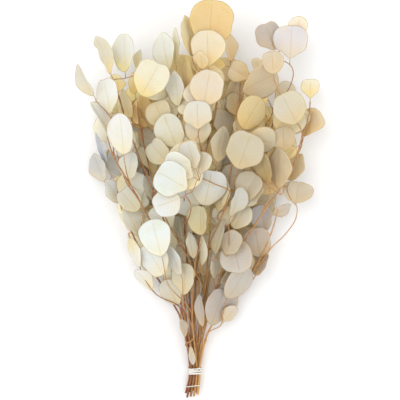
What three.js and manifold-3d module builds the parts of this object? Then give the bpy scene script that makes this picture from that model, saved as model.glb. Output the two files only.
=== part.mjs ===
// A tied bunch of bleached silver-dollar eucalyptus, lying on a table.
//
// Frame, in millimetres: +Z up from the table, +Y from the cut ends to the leafy tops, +X to the right of
// somebody who looks down on the bunch with the tops away from them. The origin is the middle of the bunch's
// footprint on the table.
//
// The stems fan out from the tie, each at its own depth in the bunch. A stem carries leafy sprays: a spray is a
// twig with its leaves, and a leaf is a flat blade on a petiole. Every leaf turns on its twig, by as little as
// it can, until it is clear of all that is already there.
import * as THREE from 'three';
import { mergeVertices } from 'three/addons/utils/BufferGeometryUtils.js';
import Module from 'manifold-3d';

const wasm = await Module();
wasm.setup();

// ---- driving dimensions -------------------------------------------------------------------------------------
const TIE_Y = -212;            // where the stems are tied together
const CUT_Y = -241;            // the mean place of the cut ends
const BAND = [8, 1.1];         // the tie's width along the stems, and its thickness
const BAND_GAP = 0.6;           // between the tie and the outermost stems' bark
const THREAD_Y = -231;         // a thin thread goes round once more below the tie
const THREAD_R = 0.6;
const REST_Z = 1.0;            // height of the twig where the leaf that lies flat on the table leaves it
const BUNDLE_X = -7;           // middle of the tied bundle
const BUNDLE_LOW = 3.2;        // height of the lowest stems' axes at the tie
const SLOT_X = 3.45;           // pitch of the stems in the bundle, across
const SLOT_Z = 3.15;           // and upwards
const STEM_R = [1.5, 0.8];     // a stem's radius at its cut end and at its tip
const TWIG_R = 0.7;
const PETIOLE_W = 1.6;
const BLADE_T = 0.8;
const THINNER = [1, 0.94, 0.88, 0.82];
const PETIOLE = 7;             // usual length of a petiole, from twig to blade
const GAP = 0.35;              // between pieces that touch
const NEAREST_CORNERS = 5e-4;  // the least distance between two corners of a solid
const WIDEST_ROLL = 62;        // the most that a leaf is turned on its own axis to look narrow, in degrees
const LEAVES = 232;            // how many leaves the bunch has, with the partners
const HALF_WIDTH = 150;        // of the leafy part
const DEPTH = [[-212, 16], [-150, 34], [-80, 62], [0, 86], [90, 94], [170, 86], [240, 66]];   // [y, depth]
const OUTLINE = [[-128, -34, 26], [-96, -54, 58], [-48, -68, 72], [0, -90, 104], [48, -116, 106], [96, -116, 130],
  [120, -120, 112], [150, -126, 96], [190, -112, 92], [226, -40, 84], [240, -10, 30]];   // [y, left, right]

const LEAF = new THREE.MeshStandardMaterial({ color: 0xf1e9d3, roughness: 0.75, metalness: 0 });
const BARK = new THREE.MeshStandardMaterial({ color: 0x94602f, roughness: 0.8, metalness: 0 });
const TIE = new THREE.MeshStandardMaterial({ color: 0xf4efe4, roughness: 0.9, metalness: 0 });

// ---- the plan of the bunch ----------------------------------------------------------------------------------
// A branch has a slot [column, row] in the tied bundle, a layer and a route in plan from the tie to its tip. A
// layer is a part of the depth of the bunch, from 0 on the table to 1 on top. A spray is [layer, leaves], and a
// leaf is [x, y, heading, length, width]: the middle of its blade in plan, the way that its tip points (degrees,
// 90 is towards the tops), and how long and wide it looks from above. A spray may have a bare stretch of twig
// first, with the places that it passes through.
const BRANCHES = [
  { slot: [3, 1], layer: 0.5, route: [[2, -130], [22, -30], [38, 50], [46, 110], [48, 148]], sprays: [
    [0.5, [[40, 136, 62, 30, 19], [43, 119, 118, 30, 24], [28, 96, 100, 42, 27]]],
    [0.6, [[34, 190, 98, 40, 20], [53, 182, 97, 32, 30], [47, 157, 150, 28, 26]]],
    [0.85, [[62, 106, 60, 44, 33], [74, 144, 28, 52, 34]]],
  ] },
  { slot: [1, 1], layer: 0.7, route: [[-7, -120], [0, -20], [8, 70], [20, 112], [19, 140], [12, 156]], sprays: [
    [0.75, [[-13, 197, 98, 50, 28], [1, 170, 98, 26, 16], [12, 211, 86, 56, 34], [9, 181, 92, 44, 41]]],
    [0.9, [[8, 134, 80, 44, 35], [-3, 102, 92, 34, 34]]],
    [0.8, [[-2, 86, 95, 34, 31], [24, 70, 80, 44, 26]]],
  ] },
  { slot: [0, 1], layer: 0.6, route: [[-13, -120], [-19, -30], [-20, 40], [-27, 90], [-27, 130]], sprays: [
    [0.7, [[-42, 182, 101, 48, 27], [-30, 188, 92, 46, 10], [-15, 152, 95, 50, 16], [-29, 136, 96, 44, 24]]],
    [0.6, [[-49, 104, 112, 38, 24], [-50, 60, 130, 34, 28], [-36, 86, 112, 42, 35]]],
    [0.95, [[4, 46, 75, 28, 18], [-10, 55, 108, 34, 23], [-39, -1, 200, 34, 34], [-33, 26, 150, 42, 41]]],
  ] },
  { slot: [2, 3], layer: 0.75, route: [[-10, -140], [-9, -82], [-22, -56], [-36, -32], [-43, -16]], sprays: [
    [0.45, [[-46, -19, 130, 36, 20], [-23, -33, 92, 32, 18]]],
    [0.85, [[-56, -70, 122, 44, 30], [-52, -43, 105, 46, 36]]],
    [0.95, [[-31, -70, 112, 40, 20], [-20, -94, 88, 40, 25], [-21, -156, 100, 24, 9], [-10, -190, 277, 24, 9]]],
  ] },
  { slot: [2, 1], layer: 0.75, route: [[2, -150], [8, -100], [11, -60], [13, -20], [12, -8]], sprays: [
    [0.6, [[1, -22, 92, 36, 25], [-10, -52, 98, 34, 13]]],
    [0.8, [[3, -58, 85, 42, 12], [10, 18, 78, 46, 38]]],
  ] },
  { slot: [2, 2], layer: 0.8, route: [[-2, -140], [0, -82], [12, -50], [26, -18], [35, 4], [42, 32]], sprays: [
    [0.6, [[49, -18, 62, 34, 27], [60, 18, 62, 38, 28], [26, 8, 80, 42, 18]]],
    [0.95, [[53, 61, 70, 46, 45]]],
    [0.85, [[17, -78, 92, 34, 14], [42, 1, 74, 38, 20], [38, -50, 60, 32, 25], [24, -42, 75, 44, 16]]],
    [0.85, [[1, -134, 95, 42, 11]]],
  ] },
  { slot: [3, 2], layer: 0.75, route: [[6, -160], [22, -102], [34, -70], [50, -54], [80, -7], [97, 15],
    [118, 56], [124, 80], [133, 105], [134, 122]], sprays: [
    [0.75, [[101, 76, 92, 32, 30], [75, 42, 108, 42, 24], [95, 41, 92, 50, 29]]],
    [0.6, [[133, 96, 70, 42, 28], [135, 139, 90, 24, 22]]],
    [0.95, [[106, 112, 120, 41, 40], [86, 166, 95, 28, 26]]],
  ] },
  { slot: [3, 3], layer: 0.7, route: [[12, -156], [36, -126], [58, -98], [72, -74], [84, -46], [92, -22],
    [96, 2]], sprays: [
    [0.5, [[119, 12, 84, 27, 38], [117, 43, 66, 38, 23]], [[88, -56], [106, -38], [118, -18]]],
    [0.6, [[101, -9, 30, 26, 16], [77, -20, 100, 34, 28], [76, -77, 62, 34, 22], [71, -50, 100, 38, 30]]],
    [0.85, [[37, -139, 50, 24, 18], [46, -97, 60, 50, 27], [23, -129, 70, 52, 34]]],
  ] },
  { slot: [1, 3], layer: 0.75, route: [[-19, -150], [-26, -120], [-34, -88], [-51, -42], [-69, -8], [-84, 20],
    [-96, 39], [-108, 61], [-114, 84]], sprays: [
    [0.6, [[-84, 44, 80, 34, 25], [-122, 102, 122, 44, 23]]],
    [0.75, [[-138, 148, 115, 42, 16], [-112, 128, 100, 46, 30]]],
    [0.95, [[-93, 81, 95, 50, 34]]],
  ] },
  { slot: [0, 3], layer: 0.5, route: [[-22, -148], [-44, -108], [-70, -66], [-84, -37], [-97, -6], [-103, 24]],
    sprays: [
      [0.4, [[-120, 62, 108, 50, 11], [-126, 43, 112, 38, 24], [-108, 14, 122, 34, 15]]],
      [0.6, [[-86, 2, 130, 34, 27], [-84, -22, 115, 44, 25]]],
      [0.45, [[-79, -62, 292, 38, 18], [-36, -112, 118, 36, 13], [-70, -96, 130, 34, 20]]],
    ] },
  { slot: [1, 2], layer: 0.6, route: [[-17, -120], [-42, -30], [-68, 40], [-90, 95], [-98, 125], [-108, 146]],
    sprays: [
      [0.6, [[-101, 146, 100, 26, 14], [-74, 172, 80, 24, 12], [-117, 177, 112, 50, 20], [-91, 180, 92, 48, 28]]],
    ] },
  { slot: [0, 2], layer: 0.5, route: [[-20, -120], [-36, -40], [-56, 20], [-70, 76], [-77, 115], [-74, 132]],
    sprays: [
      [0.5, [[-66, 52, 120, 40, 20], [-64, 18, 105, 34, 16], [-64, 110, 105, 46, 18]]],
      [0.55, [[-82, 110, 120, 30, 14], [-89, 121, 105, 36, 18], [-81, 146, 95, 28, 14]]],
      [0.9, [[-58, 146, 60, 46, 42]]],
    ] },
  { slot: [2, 0], layer: 0.35, route: [[10, -125], [44, -40], [78, 50], [96, 120], [103, 158]], sprays: [
    [0.45, [[89, 100, 62, 40, 28], [70, 104, 112, 38, 32], [104, 134, 52, 32, 24], [72, 166, 110, 26, 18]]],
    [0.6, [[84, 200, 108, 36, 32], [118, 212, 75, 26, 22], [109, 193, 88, 42, 43]]],
  ] },
  { slot: [0, 0], layer: 0.2, route: [[-28, -110], [-56, -10], [-80, 70], [-92, 118]], filler: 7 },
  { slot: [1, 0], layer: 0.16, route: [[-8, -110], [-10, 0], [-8, 80], [-4, 150]], filler: 8, rest: 7 },
  { slot: [3, 0], layer: 0.22, route: [[12, -110], [40, -20], [70, 50], [88, 105]], filler: 7 },
];

// ---- small helpers ------------------------------------------------------------------------------------------
const vec = (x, y, z) => new THREE.Vector3(x, y, z);
const radians = THREE.MathUtils.degToRad;

// A repeatable number from -1 to 1 for each number, so that no two leaves are quite alike.
const vary = (n) => {
  const s = Math.sin(n * 12.9898 + 4.1414) * 43758.5453;
  return 2 * (s - Math.floor(s)) - 1;
};

// How deep the bunch is over a place in plan: it swells from the tie to the middle, and thins at the sides.
function depthAt(x, y) {
  const next = Math.min(Math.max(DEPTH.findIndex(([at]) => at > y), 1), DEPTH.length - 1);
  const [[y0, z0], [y1, z1]] = [DEPTH[next - 1], DEPTH[next]];
  const t = THREE.MathUtils.clamp((y - y0) / (y1 - y0), 0, 1);
  return (z0 + t * (z1 - z0)) * (1 - 0.35 * (x / HALF_WIDTH) ** 2);
}

function solid(geometry) {
  const bare = new THREE.BufferGeometry().setAttribute('position', geometry.getAttribute('position'));
  if (geometry.index) bare.setIndex(geometry.index);
  const merged = mergeVertices(bare, 1e-4);
  return new wasm.Manifold(new wasm.Mesh({
    numProp: 3,
    vertProperties: merged.attributes.position.array,
    triVerts: new Uint32Array(merged.index.array),
  }));
}

function geometryOf(manifold) {
  const mesh = manifold.getMesh();
  return new THREE.BufferGeometry()
    .setAttribute('position', new THREE.BufferAttribute(new Float32Array(mesh.vertProperties), 3))
    .setIndex(new THREE.BufferAttribute(new Uint32Array(mesh.triVerts), 1));
}

const smooth = (points, steps) => new THREE.CatmullRomCurve3(points, false, 'centripetal').getSpacedPoints(steps);

// A round rod along a line of points, tapering from radius r0 to r1: rings of points, joined and capped. The
// rings of a closed line join up with the first one.
function rod(line, r0, r1, sides, closed = false) {
  const count = line.length;
  const position = [];
  const index = [];
  let side = vec(0.31, 0.12, 1);
  line.forEach((centre, i) => {
    const before = line[closed ? (i + count - 1) % count : Math.max(i - 1, 0)];
    const after = line[closed ? (i + 1) % count : Math.min(i + 1, count - 1)];
    const along = after.clone().sub(before).normalize();
    side = closed ? vec(0, 1, 0) : side;
    side.addScaledVector(along, -side.dot(along)).normalize();
    const up = along.clone().cross(side);
    const r = r0 + ((r1 - r0) * i) / (count - 1);
    for (let k = 0; k < sides; k++) {
      const turn = (2 * Math.PI * k) / sides;
      const p = centre.clone().addScaledVector(side, r * Math.cos(turn)).addScaledVector(up, r * Math.sin(turn));
      position.push(p.x, p.y, p.z);
      if (closed || i + 1 < count) {
        const next = ((i + 1) % count) * sides;
        const [a, b] = [i * sides + k, i * sides + ((k + 1) % sides)];
        index.push(a, b, next + k, b, next + ((k + 1) % sides), next + k);
      }
    }
  });
  const end = (count - 1) * sides;
  for (let k = 1; k < sides - 1 && !closed; k++) {
    index.push(0, k + 1, k);
    index.push(end, end + k, end + k + 1);
  }
  return new THREE.BufferGeometry()
    .setAttribute('position', new THREE.Float32BufferAttribute(position, 3))
    .setIndex(index);
}

// ---- keeping clear ------------------------------------------------------------------------------------------
// All that is in the bunch is kept as flat convex outlines, each with the half thickness of what it stands for.
// A piece of a rod is an outline of two points.
const present = [];

function obstacle(points, half) {
  const box = new THREE.Box3().setFromPoints(points);
  const centre = box.getCenter(vec(0, 0, 0));
  let normal = null;
  if (points.length > 2) {
    normal = points[1].clone().sub(points[0]).cross(points.at(-1).clone().sub(points[0])).normalize();
  }
  return { points, half, box: box.expandByScalar(half + GAP / 2), centre, normal };
}

function spanAlong(points, axis) {
  let [low, high] = [Infinity, -Infinity];
  for (const p of points) {
    const d = p.dot(axis);
    if (d < low) low = d;
    if (d > high) high = d;
  }
  return [low, high];
}

function partedAlong(a, b, axis) {
  const [a0, a1] = spanAlong(a.points, axis);
  const [b0, b1] = spanAlong(b.points, axis);
  return Math.max(a0 - b1, b0 - a1) >= a.half + b.half + GAP;
}

// The point of an outline that is nearest to p.
function nearestOn({ points, normal }, p) {
  const q = p.clone();
  if (normal) {
    q.addScaledVector(normal, normal.dot(points[0]) - normal.dot(p));
    const inside = points.every((v, i) => {
      const w = points[(i + 1) % points.length];
      return w.clone().sub(v).cross(q.clone().sub(v)).dot(normal) >= 0;
    });
    if (inside) return q;
  }
  let [best, least] = [points[0], Infinity];
  const edges = points.length > 2 ? points.length : 1;
  for (let i = 0; i < edges; i++) {
    const edge = new THREE.Line3(points[i], points[(i + 1) % points.length]);
    const c = edge.closestPointToPoint(p, true, vec(0, 0, 0));
    const d = c.distanceToSquared(p);
    if (d < least) [best, least] = [c, d];
  }
  return best;
}

// Two outlines are clear of each other when a plane passes between them with room for both half thicknesses.
function clear(a, b) {
  if (!a.box.intersectsBox(b.box)) return true;
  if (a.normal && partedAlong(a, b, a.normal)) return true;
  if (b.normal && partedAlong(a, b, b.normal)) return true;
  let p = a.centre;
  for (let i = 0; i < 5; i++) {
    const q = nearestOn(b, p);
    p = nearestOn(a, q);
    const axis = p.clone().sub(q);
    if (axis.lengthSq() < 1e-6) return false;
    if (partedAlong(a, b, axis.normalize())) return true;
  }
  return false;
}

const fits = (pieces, others) => pieces.every((a) => a.box.min.z >= 0 && others.every((b) => clear(a, b)));

function rodPieces(line, r0, r1) {
  return line.slice(1).map((p, i) => obstacle([line[i], p], r0 + ((r1 - r0) * i) / (line.length - 1)));
}

// ---- stems --------------------------------------------------------------------------------------------------
function slotPlace([column, row]) {
  const shift = row % 2 ? 0.25 : -0.25;
  return [BUNDLE_X + (column - 1.5 + shift) * SLOT_X, BUNDLE_LOW + row * SLOT_Z];
}

// Where a stem would like to be when it has come as far as y: on its route, and on its way to its own layer.
function wanted({ slot, route, layer }, y) {
  const [sx, sz] = slotPlace(slot);
  const path = [[sx, TIE_Y - 12], [sx, TIE_Y + 4], ...route];
  const line = path.length > 2 ? smooth(path.map(([px, py]) => vec(px, py, 0)), 120) : path;
  const i = Math.max(line.findIndex((p) => p.y >= y), 1);
  const x = THREE.MathUtils.mapLinear(y, line[i - 1].y, line[i].y, line[i - 1].x, line[i].x);
  const t = THREE.MathUtils.smoothstep(y, TIE_Y - 20, TIE_Y + 250);
  return vec(x, y, sz * (1 - t) + layer * depthAt(x, y) * t);
}

const STATION = 22;
const STEM_SIDES = 5;

// The stems set off from the tie together and push each other aside on the way up, so that none cross.
function spreadStems(branches) {
  const tops = branches.map(({ route }) => route.at(-1)[1]);
  const lines = branches.map(({ slot }) => {
    const [sx, sz] = slotPlace(slot);
    const spread = 1.25 + 0.1 * vary(slot[0] + 4 * slot[1]);
    const end = vec(BUNDLE_X - 4 + (sx - BUNDLE_X) * spread, CUT_Y + 4 * vary(sx), 2.2 + (sz - 2.2) * 1.2);
    return [end, vec(sx, TIE_Y - 9, sz), vec(sx, TIE_Y + 5, sz)];
  });
  const drift = branches.map(() => vec(0, 0, 0));
  for (let y = TIE_Y + 5 + STATION; y < Math.max(...tops) + STATION; y += STATION) {
    const here = branches.map((branch, i) => wanted(branch, Math.min(y, tops[i])).addScaledVector(drift[i], 0.9));
    const active = branches.map((_, i) => i).filter((i) => y < tops[i] + STATION);
    for (let round = 0; round < 200; round++) {
      for (const i of active) {
        for (const j of active) {
          if (j <= i) continue;
          const apart = here[j].clone().sub(here[i]).setY(0);
          const lack = 1.4 * (2 * STEM_R[0]) + GAP - apart.length();
          if (lack > 0) {
            apart.normalize().multiplyScalar(lack / 2);
            here[i].sub(apart);
            here[j].add(apart);
          }
        }
      }
      active.forEach((i) => { here[i].z = Math.max(here[i].z, STEM_R[0] + 0.1); });
    }
    for (const i of active) {
      drift[i] = here[i].clone().sub(wanted(branches[i], Math.min(y, tops[i])));
      if (y < tops[i] + 0.4 * STATION) lines[i].push(here[i]);
    }
  }
  return lines;
}

const TRIALS = [0, 0.04, -0.04, 0.08, -0.08, 0.12, -0.12, 0.17, -0.17, 0.22, -0.22, 0.28];

// ---- leaves -------------------------------------------------------------------------------------------------
// The blade's half width over its length, from 0 at the base to 0 at the tip, widest a little below the middle.
const BLADE_STATIONS = [0.12, 0.48, 0.86];
const halfWidth = (u) => Math.sin(Math.PI * u ** 0.88) ** 0.54 / 2;

// The leaf in its own plane: the petiole starts inside the twig, at the origin, and the blade follows along +X.
function leafOutline({ petiole, length, width }) {
  const side = [[-0.3, 0.3], [petiole, PETIOLE_W / 2],
    ...BLADE_STATIONS.map((u) => [petiole + u * length, halfWidth(u) * width])];
  return [...side, [petiole + length, 0], ...side.map(([x, y]) => [x, -y]).reverse()];
}

// A leaf looks narrow from above either because it is rolled on its axis, or because it is a narrow leaf.
function leafSize([x, y, heading, length, width, rests], number) {
  const fullWidth = Math.min(0.92 * length, width / Math.cos(radians(WIDEST_ROLL)));
  const roll = width < fullWidth ? THREE.MathUtils.radToDeg(Math.acos(width / fullWidth)) : 0;
  const outward = (Math.abs(x) > 25 ? Math.sign(x) : Math.sign(vary(number)));
  return {
    number, rests, at: [x, y], heading: radians(heading), length, width: Math.max(fullWidth, width),
    petiole: PETIOLE + 1.5 * vary(number + 0.3), roll: roll * outward + 3 * vary(number + 0.7),
    pitch: 3 + 6 * vary(number + 0.5),
  };
}

function leafStart({ at, heading, length, petiole }, z) {
  const back = petiole + length / 2;
  return vec(at[0] - back * Math.cos(heading), at[1] - back * Math.sin(heading), z);
}

function leafFrame(leaf, start, pitch, roll) {
  return new THREE.Matrix4().makeRotationZ(leaf.heading)
    .multiply(new THREE.Matrix4().makeRotationY(-radians(pitch)))
    .multiply(new THREE.Matrix4().makeRotationX(radians(roll)))
    .setPosition(start);
}

function leafPieces(size, frame) {
  const place = ([u, v]) => vec(u, v, 0).applyMatrix4(frame);
  const blade = leafOutline(size).slice(1, -1);
  return [obstacle(blade.map(place).reverse(), BLADE_T / 2),
    obstacle([place([2.5, 0]), place([size.petiole, 0])], PETIOLE_W / 2)];
}

const PITCHES = [0, 6, -6, 12, -12, 18, -18, 25, -25, 32, -32, 40, -40, 50];
const ROLLS = [0, 8, -8, 16, -16, 26, -26, 38, -38, 52, -52];
const TURNS = PITCHES.flatMap((p) => ROLLS.map((r) => [p, r]))
  .sort((a, b) => Math.abs(a[0]) + 0.7 * Math.abs(a[1]) - Math.abs(b[0]) - 0.7 * Math.abs(b[1]));

// The leaf that lies flat on the table, with its lower face at height 0.
function restingLeaf(size, start) {
  const frame = leafFrame(size, start.clone().setZ(BLADE_T / 2), 0, 0);
  return { size, frame, start, pieces: leafPieces(size, frame), cost: 0 };
}

// Turns a leaf by as little as it takes to clear the others.
function placeLeaf(size, start, others, turns = TURNS) {
  if (size.rests) return restingLeaf(size, start);
  const reach = 1.2 * size.length;
  const near = obstacle([start.clone().subScalar(reach), start.clone().addScalar(reach)], 0);
  const close = others.filter((o) => o.box.intersectsBox(near.box));
  for (const shrink of [1, 0.85, 0.7]) {
    const smaller = { ...size, length: size.length * shrink, width: size.width * shrink };
    for (const [dp, dr] of turns) {
      for (const side of [1, -1]) {
        const frame = leafFrame(smaller, start, size.pitch + dp, side * size.roll + dr);
        const pieces = leafPieces(smaller, frame);
        const cost = Math.abs(dp) + (1 - shrink) * 200;
        if (fits(pieces, close)) return { size: smaller, frame, start, pieces, cost };
      }
    }
  }
  return null;
}

// ---- sprays -------------------------------------------------------------------------------------------------
// The twig springs from the stem a little below the first leaf and passes through every petiole's start.
function twigLine(stem, starts, via, lower) {
  const flat = (p, q) => Math.hypot(p.x - q.x, p.y - q.y);
  const steps = stem.flatMap((p, i) => (i ? [0.25, 0.5, 0.75, 1].map((t) => stem[i - 1].clone().lerp(p, t)) : [p]));
  const nearest = (p) => steps.reduce((best, q, i) => (flat(q, p) < flat(steps[best], p) ? i : best), 0);
  const spacing = STATION / 4;
  const order = starts.map((p) => nearest(p) + (0.6 * flat(p, steps[nearest(p)])) / spacing);
  const sorted = starts.map((p, i) => [p, order[i]]).sort((a, b) => a[1] - b[1]).map(([p]) => p);
  const first = via[0] ?? sorted[0];
  const at = nearest(first);
  const back = Math.round((0.9 * first.distanceTo(steps[at])) / spacing) + 1 + lower;
  const fork = Math.max(10, Math.min(at - back, steps.length - 3));
  const along = steps[fork + 1].clone().sub(steps[fork - 1]).normalize();
  const out = first.clone().sub(steps[fork]);
  out.addScaledVector(along, -out.dot(along)).normalize();
  const off = STEM_R[0] + ((STEM_R[1] - STEM_R[0]) * (fork - 8)) / steps.length + TWIG_R + GAP + 0.15;
  return [steps[fork].clone().addScaledVector(out, off), ...via, ...sorted];
}

function trySpray(stem, sizes, bare, layer, lower) {
  const starts = sizes.map((size, i) => {
    const flat = leafStart(size, 0);
    return flat.setZ(size.rests ? REST_Z : Math.max(layer * depthAt(flat.x, flat.y) + 1.2 * i, 1.3));
  });
  const via = bare.map(([x, y]) => vec(x, y, layer * depthAt(x, y)));
  const line = twigLine(stem, starts, via, lower);
  const twig = rodPieces(line, TWIG_R, TWIG_R);
  if (!fits(twig, present)) return { cost: Infinity };
  const own = [];
  const leaves = [];
  let cost = 0;
  for (let i = sizes.length - 1; i >= 0; i--) {
    const far = twig.filter((t) => t.points.every((p) => p.distanceTo(starts[i]) > 3));
    const leaf = placeLeaf(sizes[i], starts[i], [...present, ...own, ...far]);
    cost += leaf ? leaf.cost : 400;
    if (!leaf) continue;
    own.push(...leaf.pieces);
    leaves.push(leaf);
  }
  return { line, leaves, cost, pieces: [...twig, ...own] };
}

let leafNumber = 0;

function placeSpray(stem, [layer, rows, bare = []]) {
  const sizes = rows.map((row) => leafSize(row, ++leafNumber));
  let best = { cost: Infinity };
  for (const lower of [0, 2, -2, 4, 7]) {
    for (const shift of TRIALS) {
      const trial = trySpray(stem, sizes, bare, Math.max(layer + shift, 0.02), lower);
      trial.cost += Math.abs(shift) * 150;
      if (trial.cost < best.cost) best = trial;
      if (best.cost < 60) break;
    }
    if (best.cost < 200) break;
  }
  if (!best.line) return null;
  present.push(...best.pieces);
  return best;
}

function bladeSolid({ size, frame }, thick) {
  const shape = new THREE.Shape(leafOutline(size).map(([u, v]) => new THREE.Vector2(u, v)).reverse());
  const geometry = new THREE.ExtrudeGeometry(shape, { depth: thick, bevelEnabled: false });
  geometry.translate(0, 0, -thick / 2).applyMatrix4(frame);
  return solid(geometry);
}

// ---- partners -----------------------------------------------------------------------------------------------
// A gum's leaves grow in pairs. A leaf's partner springs from the same place on the twig, where there is room for
// it inside the outline of the bunch, and under the leaves of the plan as seen from above.
const ACROSS = [180, 140, -140, 105, -105, 75, -75];
const FEW_TURNS = TURNS.slice(0, 70);
const CROWDED = 19;             // blades whose middles are this near in plan are one over the other
const HIDDEN = 25;              // a blade of the plan has no partner over it as near as this

const inPlan = (o, p, distance) => Math.hypot(o.centre.x - p.x, o.centre.y - p.y) < distance;
const crowdOver = (place) => present.filter((o) => o.normal && inPlan(o, place, CROWDED)).length;

function inOutline({ x, y }) {
  const next = OUTLINE.findIndex(([at]) => at > y);
  if (next < 1) return false;
  const [[y0, left0, right0], [y1, left1, right1]] = [OUTLINE[next - 1], OUTLINE[next]];
  const t = (y - y0) / (y1 - y0);
  return x > left0 + t * (left1 - left0) && x < right0 + t * (right1 - right0);
}

function partnerFor(spray, leaf, planned, crowd) {
  const others = present.filter((o) => !spray.pieces.includes(o)
    || o.points.every((p) => p.distanceTo(leaf.start) > 2.2));
  const number = leaf.size.number + 0.37;
  for (const across of ACROSS) {
    const heading = leaf.size.heading + radians(across + 8 * vary(number + across));
    const size = { ...leaf.size, rests: false, heading, length: 40 + 4 * vary(number + 1),
      width: 36 + 4 * vary(number + 2), roll: 14 * vary(number + 3), pitch: 8 * vary(number + 4) - 5 };
    const reach = size.petiole + size.length / 2;
    const middle = leaf.start.clone().add(vec(reach * Math.cos(heading), reach * Math.sin(heading), 0));
    if (!inOutline(middle) || crowdOver(middle) > crowd) continue;
    const made = placeLeaf(size, leaf.start, others, FEW_TURNS);
    if (!made || !fits([made.pieces[0]], present)) continue;
    const { centre } = made.pieces[0];
    if (!planned.some((o) => inPlan(o, centre, HIDDEN) && o.centre.z < centre.z)) return made;
  }
  return null;
}

// The most open places get their partners first.
function addPartners(sprays) {
  const planned = sprays.filter(({ filler }) => !filler).flatMap(({ made }) => made.leaves.map((l) => l.pieces[0]));
  let count = sprays.reduce((sum, { made }) => sum + made.leaves.length, 0);
  for (const crowd of [0, 1, 2, 3, 4, 6]) {
    for (const { made } of sprays) {
      for (const leaf of made.leaves.filter((one) => !one.paired)) {
        if (count >= LEAVES) return;
        const partner = partnerFor(made, leaf, planned, crowd);
        if (!partner) continue;
        Object.assign(partner, { paired: true });
        leaf.paired = true;
        made.leaves.push(partner);
        made.pieces.push(...partner.pieces);
        present.push(...partner.pieces);
        count++;
      }
    }
  }
}

// A join is sound when it is one body and has no two corners so close that they would be taken for one.
function isSound(manifold) {
  const geometry = geometryOf(manifold);
  const corners = geometry.getAttribute('position').count;
  return manifold.decompose().length === 1
    && mergeVertices(geometry, NEAREST_CORNERS).getAttribute('position').count === corners;
}

// The twig and its leaves as one solid. A leaf that doesn't join soundly is made a little thinner, and is left
// out if that doesn't help, as when it would shut a pocket of air in against its twig.
function spraySolid({ line, leaves }) {
  let whole = solid(rod(line, TWIG_R, TWIG_R * 0.8, 4));
  for (const leaf of leaves) {
    const joins = THINNER.map((share) => whole.add(bladeSolid(leaf, share * BLADE_T)));
    whole = joins.find(isSound) ?? whole;
  }
  return whole;
}

// A filler branch carries leaves at even steps on both sides, in two sprays.
function fillerSprays({ route, filler, layer, rest }) {
  const count = 2 * filler;
  const line = smooth(route.map(([x, y]) => vec(x, y, 0)), 2 * count);
  const rows = Array.from({ length: count }, (_, k) => {
    const i = Math.round(1 + ((2 * count - 2) * k) / (count - 1));
    const along = line[Math.min(i + 1, 2 * count)].clone().sub(line[i - 1]);
    const heading = Math.atan2(along.y, along.x) + (k % 2 ? 1 : -1) * radians(50 + 12 * vary(k + route[0][0]));
    const reach = 29 + 5 * vary(k * 3 + route[1][0]);
    return [line[i].x + reach * Math.cos(heading), line[i].y + reach * Math.sin(heading),
      THREE.MathUtils.radToDeg(heading), 41 + 4 * vary(k + 7), 36 + 5 * vary(k + 11), k === rest];
  });
  const sprays = [];
  for (let k = 0; k < count; k += 8) sprays.push([layer + 0.04 * vary(k), rows.slice(k, k + 8)]);
  return sprays;
}

// ---- building the bunch -------------------------------------------------------------------------------------
const group = new THREE.Group();

function add(name, geometry, material) {
  const mesh = new THREE.Mesh(geometry, material);
  mesh.name = name;
  group.add(mesh);
}

const stems = spreadStems(BRANCHES);
stems.forEach((line) => present.push(...rodPieces(line, ...STEM_R)));
const work = BRANCHES.flatMap((branch, b) => (branch.sprays ?? fillerSprays(branch))
  .map((spray, s) => ({ b, s, spray, filler: Boolean(branch.filler) })));
const rests = ({ spray }) => spray[1].some((row) => row[5]);
work.sort((p, q) => rests(q) - rests(p) || q.spray[0] - p.spray[0]);
for (const job of work) {
  job.made = placeSpray(stems[job.b], job.spray);
}
const grown = work.filter(({ made }) => made);
addPartners(grown);
grown.sort((p, q) => p.b - q.b || p.s - q.s);

const label = (b) => `branch_${String(b + 1).padStart(2, '0')}`;
stems.forEach((line, b) => add(`${label(b)}_stem`, rod(line, STEM_R[0], STEM_R[1], STEM_SIDES), BARK));
for (const { b, s, made } of grown) {
  add(`${label(b)}_spray_${s + 1}`, geometryOf(spraySolid(made)), LEAF);
}

// ---- the tie ------------------------------------------------------------------------------------------------
// The convex outline round the stems where they cross height y of the bundle, at a distance from their bark.
function outlineRound(y, distance) {
  const sides = 28;
  const discs = stems.map((line) => {
    const i = Math.max(line.findIndex((p) => p.y > y), 1);
    return line[i - 1].clone().lerp(line[i], (y - line[i - 1].y) / (line[i].y - line[i - 1].y));
  });
  const reach = (turn) => Math.max(...discs.map((p) => p.x * Math.cos(turn) + p.z * Math.sin(turn)))
    + STEM_R[0] + distance;
  const step = (2 * Math.PI) / sides;
  return Array.from({ length: sides }, (_, k) => {
    const [near, far] = [reach(k * step), reach((k + 1) * step)];
    const along = (far - near * Math.cos(step)) / Math.sin(step);
    const [c, d] = [Math.cos(k * step), Math.sin(k * step)];
    return new THREE.Vector2(near * c - along * d, near * d + along * c);
  });
}

const ring = new THREE.Shape(outlineRound(TIE_Y, BAND_GAP + BAND[1]));
ring.holes.push(new THREE.Path(outlineRound(TIE_Y, BAND_GAP)));
const band = new THREE.ExtrudeGeometry(ring, { depth: BAND[0], bevelEnabled: false });
band.rotateX(Math.PI / 2).translate(0, TIE_Y + BAND[0] / 2 - 1, 0);
const knot = new THREE.SphereGeometry(1, 10, 7).scale(2.6, 2.2, 1.9);
const top = Math.max(...outlineRound(TIE_Y, BAND_GAP + BAND[1]).map((p) => p.y));
knot.translate(BUNDLE_X + 5.5, TIE_Y + 1.5, top - 0.1);
add('tie_band', geometryOf(solid(band).add(solid(knot))), TIE);

const loop = outlineRound(THREAD_Y, GAP + 0.25 + THREAD_R)
  .map((p) => vec(p.x, THREAD_Y + 0.12 * (p.x - BUNDLE_X), p.y));
add('tie_thread', rod(loop, THREAD_R, THREAD_R, 6, true), TIE);

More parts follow.
